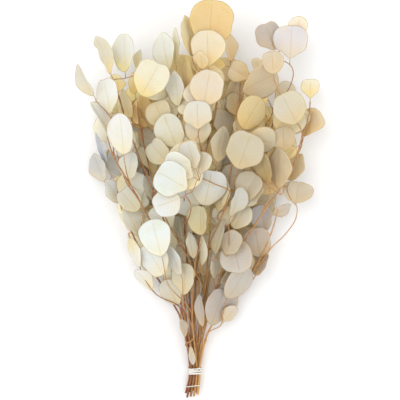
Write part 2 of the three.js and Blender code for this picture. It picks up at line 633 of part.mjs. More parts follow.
// The origin is the middle of the footprint, on the table.
const box = new THREE.Box3().setFromObject(group, true);
const middle = box.getCenter(vec(0, 0, 0));
group.position.set(-middle.x, -middle.y, -box.min.z);

export default group;
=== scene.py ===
# %% [markdown]
# # A tied bunch of bleached silver-dollar eucalyptus
#
# The CAD model is the frame: it says where every stem runs and where every leaf sits, as flat plates. Here
# each plate becomes a real leaf, a thin cupped sheet with veins, and each rod becomes bark. The script
# measures the plates and rods in the frame, and grows the fine shapes on them. Only the zones of colour, and
# the place of the knot on the tie, are listed.

# %% Load the frame
import math
import bpy
import numpy as np
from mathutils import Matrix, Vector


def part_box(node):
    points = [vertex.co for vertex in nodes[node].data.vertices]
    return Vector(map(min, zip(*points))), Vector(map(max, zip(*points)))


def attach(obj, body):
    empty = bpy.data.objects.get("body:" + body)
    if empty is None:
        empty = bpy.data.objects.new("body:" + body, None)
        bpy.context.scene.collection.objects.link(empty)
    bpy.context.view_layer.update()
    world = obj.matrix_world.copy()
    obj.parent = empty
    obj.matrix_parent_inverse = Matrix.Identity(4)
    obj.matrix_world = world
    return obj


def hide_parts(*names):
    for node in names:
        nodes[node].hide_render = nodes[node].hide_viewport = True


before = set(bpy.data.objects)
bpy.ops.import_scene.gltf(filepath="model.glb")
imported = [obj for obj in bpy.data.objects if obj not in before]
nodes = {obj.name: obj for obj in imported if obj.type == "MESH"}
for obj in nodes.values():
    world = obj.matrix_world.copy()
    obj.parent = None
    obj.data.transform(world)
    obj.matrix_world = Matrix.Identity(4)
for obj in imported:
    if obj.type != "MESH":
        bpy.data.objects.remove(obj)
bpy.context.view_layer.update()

MM = 0.001
LOWEST = 0.15 * MM           # no point is lower than this over the table
print("nodes in the frame:", len(nodes))

# %% [markdown]
# ## Reading the frame
# A mesh from CAD is a heap of triangles. To read it we weld equal corners, then ask which triangles share
# an edge. Triangles that share an edge and lie in one plane belong to one flat face.

# %% Read a CAD node as arrays
def cad_triangles(name):
    """Corners (k, 3) in metres and triangles (m, 3), with corners that coincide to a micrometre welded."""
    mesh = nodes[name].data
    mesh.calc_loop_triangles()
    points = np.empty(len(mesh.vertices) * 3)
    mesh.vertices.foreach_get("co", points)
    faces = np.empty(len(mesh.loop_triangles) * 3, dtype=np.int64)
    mesh.loop_triangles.foreach_get("vertices", faces)
    welded, where = np.unique(np.round(points.reshape(-1, 3), 6), axis=0, return_inverse=True)
    faces = where.reshape(-1)[faces].reshape(-1, 3)
    whole = (faces[:, 0] != faces[:, 1]) & (faces[:, 1] != faces[:, 2]) & (faces[:, 0] != faces[:, 2])
    return welded, faces[whole]


def flat_faces(points, faces, smallest=90 * MM * MM):
    """Groups triangles into flat faces: two triangles are in one group if they share an edge and their
    normals differ by less than a degree, or if their groups lie in one plane. Groups under the smallest
    area are left out."""
    a, b, c = (points[faces[:, k]] for k in range(3))
    cross = np.cross(b - a, c - a)
    area = np.linalg.norm(cross, axis=1) / 2
    normal = cross / np.maximum(2 * area, 1e-15)[:, None]
    edges = np.sort(faces[:, [0, 1, 1, 2, 2, 0]].reshape(-1, 2), axis=1)
    owner = np.repeat(np.arange(len(faces)), 3)
    order = np.lexsort((edges[:, 1], edges[:, 0]))
    same = np.all(edges[order[1:]] == edges[order[:-1]], axis=1)
    left, right = owner[order[:-1][same]], owner[order[1:][same]]
    flat = np.sum(normal[left] * normal[right], axis=1) > 0.99985
    left, right = left[flat], right[flat]
    label = np.arange(len(faces))
    for _ in range(200):
        before = label.copy()
        low = np.minimum(label[left], label[right])
        np.minimum.at(label, left, low)
        np.minimum.at(label, right, low)
        if np.array_equal(before, label):
            break
    for big in np.unique(label[area > 5 * MM * MM]):
        mine = label == big
        way = (normal[mine] * area[mine, None]).sum(axis=0)
        way /= np.linalg.norm(way)
        level = (a[mine] @ way).mean()
        off_plane = np.max([np.abs(corner @ way - level) for corner in (a, b, c)], axis=0)
        label[(normal @ way > 0.9995) & (off_plane < 0.04 * MM)] = big
    groups = []
    for name in np.unique(label):
        mine = label == name
        if area[mine].sum() > smallest:
            centre = ((a + b + c)[mine] / 3 * area[mine, None]).sum(axis=0) / area[mine].sum()
            groups.append({"corners": np.unique(faces[mine]), "centre": centre, "area": area[mine].sum(),
                           "normal": (normal[mine] * area[mine, None]).sum(axis=0) / area[mine].sum()})
    return groups


# %% Measure every leaf plate
PETIOLE_HALF = 1.0 * MM      # a CAD petiole's half width, and a little


def measure_leaf(points, upper, lower):
    """A leaf's place from the two faces of its plate. The corner farthest from the plate's middle is the
    end of its petiole. From there the leaf's own axis runs through the middle to the tip. The blade starts
    where the outline last leaves the narrow strip of the petiole, and its width is the widest reach off the
    axis."""
    outline = points[upper["corners"]]
    middle = (upper["centre"] + lower["centre"]) / 2
    normal = upper["normal"] / np.linalg.norm(upper["normal"])
    reach = np.linalg.norm(outline - upper["centre"], axis=1)
    root = outline[reach > reach.max() - 1.2 * MM].mean(axis=0)
    axis = upper["centre"] - root
    axis -= normal * axis.dot(normal)
    axis /= np.linalg.norm(axis)
    side = np.cross(normal, axis)
    along = (outline - root) @ axis
    off = (outline - root) @ side
    total = along.max()
    narrow = (np.abs(off) < PETIOLE_HALF) & (along < 0.6 * total)
    base = along[narrow].max()
    centre_line = root - normal * 0.4 * MM
    return {"root": centre_line, "base": centre_line + axis * base, "middle": middle,
            "axis": axis, "side": side, "normal": normal,
            "length": total - base, "width": 2 * np.abs(off).max()}


def measure_leaves(name):
    """Pairs the upper and lower face of each plate in a node, and measures each leaf."""
    points, faces = cad_triangles(name)
    groups = flat_faces(points, faces)
    up = [g for g in groups if g["normal"][2] > 0]
    down = [g for g in groups if g["normal"][2] <= 0]
    leaves = []
    for g in up:
        partner = min(down, key=lambda h: np.linalg.norm(h["centre"] - g["centre"]))
        leaves.append(measure_leaf(points, g, partner))
    used = np.zeros(len(points), dtype=bool)
    for g in groups:
        used[g["corners"]] = True
    return leaves, points[~used]


sprays = {}
for name in sorted(nodes):
    if "_spray_" in name:
        sprays[name] = measure_leaves(name)
print("leaves measured:", sum(len(leaves) for leaves, _ in sprays.values()))

# %% Measure every stem
def stem_line(name, stations=26):
    """Centres and radii of a stem, by cutting its mesh across Y: at each station the middle of the cut's
    corners is the centre, and their mean distance from it is the radius."""
    points, faces = cad_triangles(name)
    low, high = points[:, 1].min(), points[:, 1].max()
    cuts = np.linspace(low + 0.4 * MM, high - 0.4 * MM, stations)
    edges = np.unique(np.sort(faces[:, [0, 1, 1, 2, 2, 0]].reshape(-1, 2), axis=1), axis=0)
    a, b = points[edges[:, 0]], points[edges[:, 1]]
    centres, radii = [], []
    for y in cuts:
        crossing = (a[:, 1] - y) * (b[:, 1] - y) < 0
        if not crossing.any():
            continue
        t = (y - a[crossing, 1]) / (b[crossing, 1] - a[crossing, 1])
        ring = a[crossing] + t[:, None] * (b[crossing] - a[crossing])
        centre = (ring.min(axis=0) + ring.max(axis=0)) / 2
        centres.append(centre)
        radii.append(np.median(np.linalg.norm(ring - centre, axis=1)))
    return np.array(centres), np.array(radii)


stems = {name: stem_line(name) for name in sorted(nodes) if name.endswith("_stem")}
tie_y = (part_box("tie_band")[0][1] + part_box("tie_band")[1][1]) / 2
thickest = max(radii.max() for _, radii in stems.values())
print("stems:", len(stems), "tie at y", round(tie_y, 4), "radius", round(thickest / MM, 2), "mm")

# %% [markdown]
# ## Building blocks
# Two shapes are enough for the whole bunch. A rod carries a ring along a path: it makes stems, twigs,
# petioles and the knot, and a turn of cotton is such a rod whose ends meet. A blade is a disc of rings and
# rays with an upper and a lower side.

# %% Small helpers
def smooth_path(points, count):
    """A smooth line through the points, as cubic Hermite pieces whose slope at a point is that of the chord
    between its neighbours. The parameter runs by chord length, so close points don't make loops."""
    points = np.asarray(points, dtype=float)
    step = np.maximum(np.linalg.norm(np.diff(points, axis=0), axis=1), 1e-6)
    at = np.concatenate([[0], np.cumsum(step)])
    slope = np.gradient(points, at, axis=0) if len(points) > 2 else np.repeat(
        (points[1:] - points[:1]) / step[0], 2, axis=0)
    t = np.linspace(0, at[-1], count)
    i = np.clip(np.searchsorted(at, t, side="right") - 1, 0, len(points) - 2)
    h = (at[i + 1] - at[i])[:, None]
    s = ((t - at[i]) / (at[i + 1] - at[i]))[:, None]
    return ((2 * s**3 - 3 * s**2 + 1) * points[i] + (s**3 - 2 * s**2 + s) * h * slope[i]
            + (-2 * s**3 + 3 * s**2) * points[i + 1] + (s**3 - s**2) * h * slope[i + 1])


def smoothstep(low, high, x):
    """0 below low, 1 above high, and 3t^2 - 2t^3 between."""
    t = np.clip((np.asarray(x, dtype=float) - low) / (high - low), 0, 1)
    return t * t * (3 - 2 * t)


def unit(v):
    """v with length 1, along the last axis."""
    v = np.asarray(v, dtype=float)
    return v / np.maximum(np.linalg.norm(v, axis=-1, keepdims=True), 1e-12)


# %% A rod along a path
def rod(path, radius, sides=8, bumps=0.0, seed=0):
    """A closed rod: a ring of radius r(i) stands square to the path at each point, and the ends are domed
    by one smaller ring and a centre. Bumps are a share of the radius, as a sum of three slow waves."""
    path = np.asarray(path, dtype=float)
    n = len(path)
    tangent = unit(np.gradient(path, axis=0))
    helper = np.where(np.abs(tangent[:, 2:3]) > 0.9, [[1.0, 0, 0]], [[0, 0, 1.0]])
    across = unit(np.cross(tangent, helper))
    up = np.cross(across, tangent)
    turn = np.linspace(0, 2 * np.pi, sides, endpoint=False)
    radius = np.broadcast_to(radius, (n,))[:, None] * np.ones((1, sides))
    if bumps:
        rng = np.random.default_rng(seed)
        length = np.concatenate([[0], np.cumsum(np.linalg.norm(np.diff(path, axis=0), axis=1))])[:, None]
        for wave in (9, 17, 31):
            phase = rng.uniform(0, 2 * np.pi, 2)
            radius = radius * (1 + bumps / 3 * np.sin(length / MM * 2 * np.pi / wave + phase[0])
                               * np.cos(turn * rng.integers(1, 3) + phase[1]))
    rings = (path[:, None] + radius[..., None] * (np.cos(turn)[None, :, None] * across[:, None]
                                                  + np.sin(turn)[None, :, None] * up[:, None]))
    first_out, last_out = tangent[:1, None] * radius[0, 0], tangent[-1:, None] * radius[-1, 0]
    first_end = path[:1, None] + (rings[:1] - path[:1, None]) * 0.6 - first_out * 0.25
    last_end = path[-1:, None] + (rings[-1:] - path[-1:, None]) * 0.6 + last_out * 0.25
    rings = np.concatenate([first_end, rings, last_end])
    n += 2
    i, k = np.meshgrid(np.arange(n - 1), np.arange(sides), indexing="ij")
    j = (k + 1) % sides
    quads = np.stack([i * sides + k, i * sides + j, (i + 1) * sides + j, (i + 1) * sides + k], axis=-1)
    quads = quads.reshape(-1, 4)[:, ::-1]
    points = rings.reshape(-1, 3)
    tips = np.array([rings[0].mean(axis=0), rings[-1].mean(axis=0)])
    k = np.arange(sides)
    j = (k + 1) % sides
    first = np.stack([np.full(sides, len(points)), k, j], axis=1)[:, ::-1]
    last = np.stack([np.full(sides, len(points) + 1), (n - 1) * sides + k, (n - 1) * sides + j], axis=1)
    run = np.concatenate([np.repeat(np.linspace(0, 1, n), sides), [0, 1]])
    return {"points": np.concatenate([points, tips]), "quads": quads, "triangles":
            np.concatenate([first[:, ::-1], last[:, ::-1]]), "run": run}


# %% [markdown]
# ## A leaf
# The round leaf of silver-dollar gum is a blunt, nearly circular blade on a short petiole. When it's
# bleached and dried it cups, its edge ripples, and it folds a little along the midrib. A grid of rows and
# columns would pinch at the round ends, so the blade is a disc instead: rings from its middle to its
# outline, and rays all round. One formula gives the outline for each direction, and one gives the height
# over the flat blade.

# %% The leaf's sheet
RINGS, RAYS = 9, 40
BLADE_THICK = 0.4 * MM


def outline_reach(leaf, turn):
    """How far the outline is from the blade's middle in each direction. It is a superellipse of the leaf's
    length and width, (|cos|/a)^p + (|sin|/b)^p = 1/reach^p. Its power p is above 2 at the tip, which is
    blunt, and below 2 at the base, which is a wedge. The tip may be notched, and slow and quick waves go
    round. A trim below 1 draws the outline in everywhere but at the base."""
    a, b = leaf["length"] / 2, leaf["width"] / 2 * (1 + leaf["egg"] * np.cos(turn))
    p = leaf["square"] + (leaf["wedge"] - leaf["square"]) * smoothstep(0.0, 0.9, -np.cos(turn))
    reach = ((np.abs(np.cos(turn)) / a) ** p + (np.abs(np.sin(turn)) / b) ** p) ** (-1 / p)
    from_tip = np.angle(np.exp(1j * turn))
    from_base = np.angle(np.exp(1j * (turn - np.pi)))
    reach = reach * (1 - leaf["notch"] * np.exp(-((from_tip / 0.30) ** 2)))
    waves = (0.030 * np.sin(3 * turn + 6.3 * leaf["seed"]) + 0.022 * np.sin(5 * turn + 17 * leaf["seed"])
             + 0.008 * np.sin(9 * turn + 29 * leaf["seed"]))
    trim = 1 - (1 - leaf["trim"]) * np.abs(np.sin(from_base / 2))
    return reach * trim * (1 + waves * np.abs(np.sin(from_base / 2)) ** 0.5)


def blade_height(leaf, x, y, share, turn):
    """Height over the flat blade. It sums the cup (y squared), the bend (x squared), the fold (|y|), the
    twist (x times y), an edge ripple and curl that grow with the share of the way out, and the sunken
    midrib."""
    width = leaf["width"]
    along, off = x / leaf["length"], 2 * y / width
    z = leaf["cup"] * off**2 + 1.6 * leaf["bend"] * (along - 0.45) ** 2 + leaf["twist"] * (along - 0.4) * off
    z = z + leaf["fold"] * (np.sqrt(off**2 + 0.01) - 0.1)
    z = z + leaf["ripple"] * share**3 * np.sin(leaf["waves"] * turn + 6.3 * leaf["seed"])
    z = z + leaf["curl"] * smoothstep(0.72, 1.0, share) * np.sin(turn + 6.3 * leaf["seed"])
    bump = np.exp(-(((along - leaf["crease_at"] - 0.3 * off) / 0.10) ** 2))
    z = z + leaf["crease"] * bump * smoothstep(0.2, 0.9, share)
    return width * (z - 0.012 * np.exp(-((off / 0.08) ** 2)))


def blade_points(leaf, share, turn):
    """Places on the blade, for a share of the way from its middle to its outline in a direction: base +
    axis * x + side * y + normal * z, where the base itself keeps height 0. Also gives x, y and the distance
    to the rim."""
    reach = outline_reach(leaf, turn)
    x = leaf["length"] / 2 + share * reach * np.cos(turn)
    y = share * reach * np.sin(turn)
    base_height = blade_height(leaf, 0.0, 0.0, 1.0, np.pi)
    z = blade_height(leaf, x, y, share, turn) - base_height
    points = (leaf["base"] + leaf["axis"] * x[..., None] + leaf["side"] * y[..., None]
              + leaf["normal"] * z[..., None])
    return points, x, y, (1 - share) * reach


def leaf_sheet(leaf):
    """Upper and lower side of one blade as its middle point and then its rings, and for each point x, y and
    the distance to the rim. The sides part by the thickness, which halves towards the rim."""
    share = np.linspace(0, 1, RINGS + 1)[1:] ** 0.8
    turn = np.linspace(0, 2 * np.pi, RAYS, endpoint=False)
    share, turn = np.meshgrid(share, turn, indexing="ij")
    share, turn = np.append(0.0, share.ravel()), np.append(0.0, turn.ravel())
    points, x, y, rim = blade_points(leaf, share, turn)
    half_thick = leaf["normal"] * (BLADE_THICK / 2 * (1 - 0.5 * share**6))[:, None]
    return points + half_thick, points - half_thick, np.stack([x, y, rim], axis=1)


def disc_faces():
    """Faces of a blade: a fan round the middle, quads between rings, the same turned over for the lower
    side, and a rim of quads between the two outlines."""
    k = np.arange(RAYS)
    after = (k + 1) % RAYS
    fan = np.stack([np.zeros(RAYS, int), 1 + k, 1 + after], axis=1)
    ring = 1 + RAYS * np.arange(RINGS - 1)[:, None]
    quads = np.stack([ring + k, ring + RAYS + k, ring + RAYS + after, ring + after], axis=-1).reshape(-1, 4)
    under = 1 + RAYS * RINGS
    last = 1 + RAYS * (RINGS - 1)
    rim = np.stack([last + k, under + last + k, under + last + after, last + after], axis=1)
    return (np.concatenate([quads, quads[:, ::-1] + under, rim]),
            np.concatenate([fan, fan[:, ::-1] + under]))


BLADE_QUADS, BLADE_FANS = disc_faces()
print("triangles in a blade:", 2 * len(BLADE_QUADS) + len(BLADE_FANS))

# %% [markdown]
# ## Colour of each leaf
# Bleaching leaves every leaf a little different. Those on the outside are milk white or faintly lilac where
# the light reached them, the ones deep inside are golden ochre, and the outermost ones are greyed. Part of
# this is painted light: the golden ochre of the deep leaves stands in for light that shines through and
# bounces between the leaves over them, and the grey of the outermost leaves is partly painted shade. So a
# leaf's colour comes from where it is in the bunch, plus a little chance. The zones are a list, because no
# formula says how far the bleach went in each part of a bunch.

# %% Colour zones
# Places in plan, in millimetres, with the colour of the blade, the colour at its base, and how strongly
# the place counts.
ZONE_SHIFT = np.array([1.7, 3.2])      # where the plan's origin lies in the frame, in millimetres
# the zone colours carry some painted light: the grey and grey-blue outermost leaves at both sides are
# darkened partly as painted shade, and the golden ochre zones in the gaps are partly painted glow
ZONES = [
    ((-93, 81), (0.90, 0.91, 0.89), (0.92, 0.85, 0.62), 1.0),
    ((-122, 102), (0.80, 0.82, 0.80), (0.86, 0.78, 0.56), 1.0),
    # grey-blue leaves at the left edge: partly painted shade
    ((-126, 45), (0.48, 0.53, 0.62), (0.62, 0.62, 0.58), 1.5),
    ((-110, 14), (0.80, 0.84, 0.84), (0.82, 0.78, 0.62), 0.9),
    ((-86, -4), (0.84, 0.83, 0.74), (0.88, 0.79, 0.52), 0.9),
    ((-84, -24), (0.88, 0.89, 0.84), (0.88, 0.82, 0.62), 1.0),
    ((-78, -62), (0.86, 0.84, 0.76), (0.86, 0.72, 0.42), 0.9),
    ((-91, 180), (0.86, 0.87, 0.82), (0.92, 0.80, 0.38), 1.0),
    # the outermost leaves at the upper left are darkened: partly painted shade
    ((-117, 178), (0.72, 0.70, 0.58), (0.90, 0.74, 0.36), 0.9),
    ((-138, 150), (0.70, 0.69, 0.62), (0.78, 0.68, 0.46), 0.9),
    ((-112, 128), (0.90, 0.90, 0.84), (0.88, 0.80, 0.54), 0.9),
    ((-58, 146), (0.86, 0.82, 0.66), (0.92, 0.74, 0.34), 1.0),
    # golden ochre in the gaps at the upper left: partly painted glow of light through the leaves
    ((-88, 138), (0.90, 0.78, 0.42), (0.84, 0.62, 0.22), 0.8),
    ((-66, 108), (0.80, 0.60, 0.28), (0.68, 0.46, 0.16), 0.9),
    ((-48, 60), (0.82, 0.78, 0.62), (0.84, 0.70, 0.42), 0.8),
    ((-36, 88), (0.82, 0.81, 0.70), (0.86, 0.76, 0.50), 1.0),
    ((-33, 26), (0.79, 0.84, 0.82), (0.88, 0.84, 0.68), 1.1),
    ((-40, -2), (0.82, 0.84, 0.83), (0.86, 0.82, 0.68), 1.0),
    ((-53, -45), (0.82, 0.87, 0.84), (0.88, 0.83, 0.66), 1.0),
    ((-32, -72), (0.80, 0.83, 0.82), (0.82, 0.76, 0.60), 0.9),
    ((-20, -94), (0.78, 0.74, 0.62), (0.82, 0.70, 0.44), 1.0),
    ((-42, 181), (0.87, 0.89, 0.82), (0.88, 0.80, 0.54), 0.9),
    ((-14, 195), (0.80, 0.70, 0.42), (0.80, 0.60, 0.26), 1.0),
    ((12, 213), (0.78, 0.60, 0.32), (0.76, 0.53, 0.22), 1.2),
    ((9, 180), (0.75, 0.66, 0.51), (0.82, 0.64, 0.33), 1.1),
    ((-12, 152), (0.84, 0.66, 0.32), (0.76, 0.50, 0.18), 0.8),
    ((-29, 134), (0.86, 0.86, 0.80), (0.88, 0.78, 0.50), 0.9),
    ((8, 134), (0.78, 0.69, 0.55), (0.82, 0.63, 0.38), 1.0),
    ((-3, 98), (0.75, 0.72, 0.62), (0.80, 0.66, 0.42), 1.0),
    ((-10, 54), (0.80, 0.80, 0.76), (0.84, 0.76, 0.58), 1.0),
    ((10, 18), (0.76, 0.76, 0.72), (0.78, 0.70, 0.52), 1.0),
    ((24, 64), (0.68, 0.61, 0.44), (0.72, 0.58, 0.34), 0.9),
    ((2, -22), (0.70, 0.66, 0.46), (0.70, 0.58, 0.32), 0.9),
    ((53, 61), (0.68, 0.61, 0.45), (0.74, 0.59, 0.34), 1.0),
    ((62, 106), (0.72, 0.60, 0.34), (0.76, 0.55, 0.24), 1.0),
    ((74, 145), (0.72, 0.62, 0.44), (0.78, 0.60, 0.34), 1.0),
    ((36, 188), (0.78, 0.64, 0.42), (0.76, 0.54, 0.26), 0.9),
    ((109, 193), (0.77, 0.74, 0.75), (0.80, 0.72, 0.60), 1.0),
    ((135, 139), (0.86, 0.84, 0.74), (0.90, 0.74, 0.36), 1.1),
    ((85, 205), (0.54, 0.49, 0.43), (0.60, 0.50, 0.36), 1.0),
    ((106, 112), (0.70, 0.66, 0.54), (0.76, 0.62, 0.38), 1.0),
    ((132, 100), (0.74, 0.63, 0.44), (0.78, 0.58, 0.30), 0.9),
    ((96, 44), (0.68, 0.59, 0.43), (0.72, 0.56, 0.33), 1.0),
    ((75, 40), (0.62, 0.50, 0.28), (0.64, 0.46, 0.20), 0.9),
    ((119, 20), (0.66, 0.62, 0.50), (0.70, 0.58, 0.40), 1.0),
    ((74, -20), (0.62, 0.60, 0.60), (0.66, 0.58, 0.48), 0.9),
    ((71, -50), (0.60, 0.53, 0.46), (0.62, 0.50, 0.34), 1.0),
    ((46, -97), (0.62, 0.58, 0.52), (0.64, 0.54, 0.40), 1.0),
    ((24, -130), (0.58, 0.53, 0.49), (0.62, 0.52, 0.38), 1.0),
    ((40, -4), (0.68, 0.67, 0.60), (0.70, 0.61, 0.42), 1.0),
]
# painted glow: the golden ochre that covered leaves are mixed towards, for light through and between the
# leaves above
DEEP_GLOW_PAINTED = np.array([0.95, 0.80, 0.46])
DEEP_BASE_GLOW_PAINTED = np.array([0.88, 0.63, 0.25])
SPOT = (np.array([z[0] for z in ZONES]) + ZONE_SHIFT) * MM
BLADE = np.array([z[1] for z in ZONES])
BASE = np.array([z[2] for z in ZONES])
WEIGHT = np.array([z[3] for z in ZONES])
print("colour zones:", len(ZONES))


def leaf_colours(middle, depth, rng):
    """The blade's and the base's colour: zones weighted by one over distance to the fourth power, then mixed
    towards golden ochre by how deep in the bunch the leaf is, as a painted glow of the light that shines
    through and bounces between the leaves over it, with a little chance in brightness and warmth. A deeper
    leaf is also painted lighter, against the shade that the leaves over it cast."""
    distance = np.linalg.norm(SPOT - middle[:2], axis=1) + 4 * MM
    weight = WEIGHT / distance**4
    weight /= weight.sum()
    blade, base = weight @ BLADE, weight @ BASE
    # painted glow: a covered leaf is mixed towards golden ochre for the light that shines through and bounces
    # between the leaves over it
    blade = blade * (1 - depth) + (0.5 * blade + 0.5 * DEEP_GLOW_PAINTED) * depth
    base = base * (1 - depth) + (0.3 * base + 0.7 * DEEP_BASE_GLOW_PAINTED) * depth
    # painted light: a covered leaf is made lighter against the shade of the leaves over it, plus a little
    # chance
    light = 0.845 + 0.25 * depth + 0.04 * rng.uniform(-1, 1)
    warm = 0.03 * rng.uniform(-1, 1)
    shift = np.array([1 + warm * 0.4, 1.0, 1 - warm])
    return np.clip(blade * light * shift, 0, 1), np.clip(base * light * shift, 0, 1)


# %% How deep in the bunch a leaf lies
grown = [leaf for leaves, _ in sprays.values() for leaf in leaves]
all_middles = np.array([leaf["middle"] for leaf in grown])


def depth_of(leaf):
    """0 for a leaf that lies open to the sky and 1 for one that is well covered: the number of leaves whose
    middles are more than 4 mm over its own and within 21 mm in plan, divided by three, and at most 1."""
    gap = all_middles - leaf["middle"]
    over = (np.hypot(gap[:, 0], gap[:, 1]) < 21 * MM) & (gap[:, 2] > 4 * MM)
    return min(over.sum() / 3, 1.0)


print("covered leaves:", sum(depth_of(leaf) > 0.6 for leaf in grown))

# %% [markdown]
# ## Bending the leaves
# No two leaves of a dried bunch are bent alike, yet none goes through another. A cloth simulation could
# press them apart, but it would be slow for this many thin sheets. Chance is quicker: each leaf is given a
# form, and where that form cuts through a neighbour another is tried, in the end flatter and flatter. The
# flat plates of the frame are clear of each other, so a flat enough form fits nearly every time. A few
# leaves still cut through a neighbour, and the printed count says how many.

# %% Give a leaf a form
rng = np.random.default_rng(21)


def bend(leaf, share):
    """Gives a leaf a new form by chance, where share makes everything that lifts it off its plane smaller."""
    leaf["seed"] = rng.uniform(0, 1)
    leaf["trim"] = 0.90 + 0.10 * share
    leaf["egg"] = rng.uniform(0.0, 0.18)
    edge_on = abs(leaf["normal"][2]) < 0.7
    leaf["square"] = rng.uniform(1.3, 1.6) if edge_on else rng.uniform(2.0, 2.7)
    leaf["wedge"] = rng.uniform(1.25, 1.9)
    leaf["notch"] = rng.choice([0.0, 0.03, 0.07])
    leaf["cup"] = share * rng.choice([1, 1, -1]) * rng.uniform(0.03, 0.10)
    leaf["bend"] = share * rng.choice([1, -1, -1]) * rng.uniform(0.03, 0.14)
    leaf["fold"] = share * rng.choice([0, 0, 1]) * rng.uniform(0.05, 0.15)
    leaf["twist"] = share * rng.uniform(-0.12, 0.12)
    leaf["ripple"] = share * rng.uniform(0.005, 0.022)
    leaf["waves"] = rng.integers(3, 7)
    leaf["curl"] = share * rng.uniform(0.0, 0.04)
    leaf["crease"] = share * rng.choice([0, 0, 1]) * rng.uniform(-0.05, 0.05)
    leaf["crease_at"] = rng.uniform(0.3, 0.7)


# %% See where a leaf cuts through another
def some_points(leaf):
    """A blade as a few points: its middle and three rings of 24."""
    share, turn = np.meshgrid([0.35, 0.7, 1.0], np.linspace(0, 2 * np.pi, 24, endpoint=False), indexing="ij")
    share, turn = np.append(0.0, share.ravel()), np.append(0.0, turn.ravel())
    return blade_points(leaf, share, turn)[0]


def cut_by(leaf, points):
    """How much a blade cuts through points: of those over or under it, the number on the smaller side. Each
    point is written in the leaf's own x, y and height, and its height is compared with the blade's at that
    x and y."""
    place = points - leaf["base"]
    x, y, z = place @ leaf["axis"], place @ leaf["side"], place @ leaf["normal"]
    turn = np.arctan2(y, x - leaf["length"] / 2)
    share = np.hypot(x - leaf["length"] / 2, y) / outline_reach(leaf, turn)
    z = z - blade_height(leaf, x, y, share, turn) + blade_height(leaf, 0.0, 0.0, 1.0, np.pi)
    over, under = (z[share < 1] > 0).sum(), (z[share < 1] < 0).sum()
    return min(over, under)


def close_to(leaf):
    """The leaves that already have a form and are near enough to touch this one."""
    return [g for g in grown if g is not leaf and "points" in g
            and np.linalg.norm(g["middle"] - leaf["middle"]) < (g["length"] + leaf["length"]) / 2 + 4 * MM]


# %% Bend every leaf
SHARES = (1.0, 1.0, 0.8, 0.7, 0.6, 0.5, 0.4, 0.3, 0.2, 0.1, 0.0)     # of the full bend, from try to try


def settle(leaf):
    """Tries forms until one is clear of the leaves near it, or else keeps the one that cuts least."""
    near = close_to(leaf)
    best = (leaf.get("cuts", 1e9), dict(leaf))
    for share in SHARES:
        bend(leaf, share)
        leaf["points"] = some_points(leaf)
        leaf["cuts"] = sum(cut_by(g, leaf["points"]) + cut_by(leaf, g["points"]) for g in near)
        if leaf["cuts"] < best[0]:
            best = (leaf["cuts"], dict(leaf))
        if leaf["cuts"] == 0:
            break
    leaf.update(best[1])


for go in range(3):
    for leaf in grown:
        if leaf.get("cuts") != 0:
            settle(leaf)
print("leaves that still cut through another:", sum(leaf["cuts"] > 0 for leaf in grown))

# %% Colour every leaf
for leaf in grown:
    leaf["depth"] = depth_of(leaf)
    leaf["blade_colour"], leaf["base_colour"] = leaf_colours(leaf["middle"], leaf["depth"], rng)
print("mean blade colour:", np.mean([leaf["blade_colour"] for leaf in grown], axis=0).round(2))

# %% [markdown]
# ## Materials
# One leaf finish serves every leaf: the colours come with the mesh, as attributes, and the nodes add what a
# real blade has, and a little painted shade. That is a pale midrib with side veins that run to the edge,
# mottling, a thin brown rim that is partly the dried edge and partly a painted shadow outline, and a papery
# surface.

# %% A tool for node trees
class Nodes:
    """A short way to write a node tree: add() makes a node, sets its values and links its inputs."""

    def __init__(self, name):
        self.material = bpy.data.materials.new(name)
        self.material.use_nodes = True
        self.tree = self.material.node_tree
        self.tree.nodes.clear()

    def add(self, kind, inputs=(), **settings):
        node = self.tree.nodes.new(kind)
        for key, value in settings.items():
            setattr(node, key, value)
        for key, value in dict(inputs).items():
            socket = node.inputs[key]
            if isinstance(value, bpy.types.NodeSocket):
                self.tree.links.new(value, socket)
            else:
                socket.default_value = value
        return node

    def math(self, operation, a, b=0.0, clamp=False):
        return self.add("ShaderNodeMath", {0: a, 1: b}, operation=operation, use_clamp=clamp).outputs[0]

    def step(self, value, low, high):
        return self.add("ShaderNodeMapRange", {"Value": value, "From Min": low, "From Max": high},
                        interpolation_type="SMOOTHSTEP").outputs["Result"]

    def mix(self, share, a, b, blend="MIX"):
        node = self.add("ShaderNodeMix", {0: share, 6: a, 7: b}, data_type="RGBA", blend_type=blend)
        return node.outputs[2]

    def noise(self, vector, scale, detail=3.0, rough=0.55):
        return self.add("ShaderNodeTexNoise", {"Vector": vector, "Scale": scale, "Detail": detail,
                                               "Roughness": rough}).outputs["Fac"]


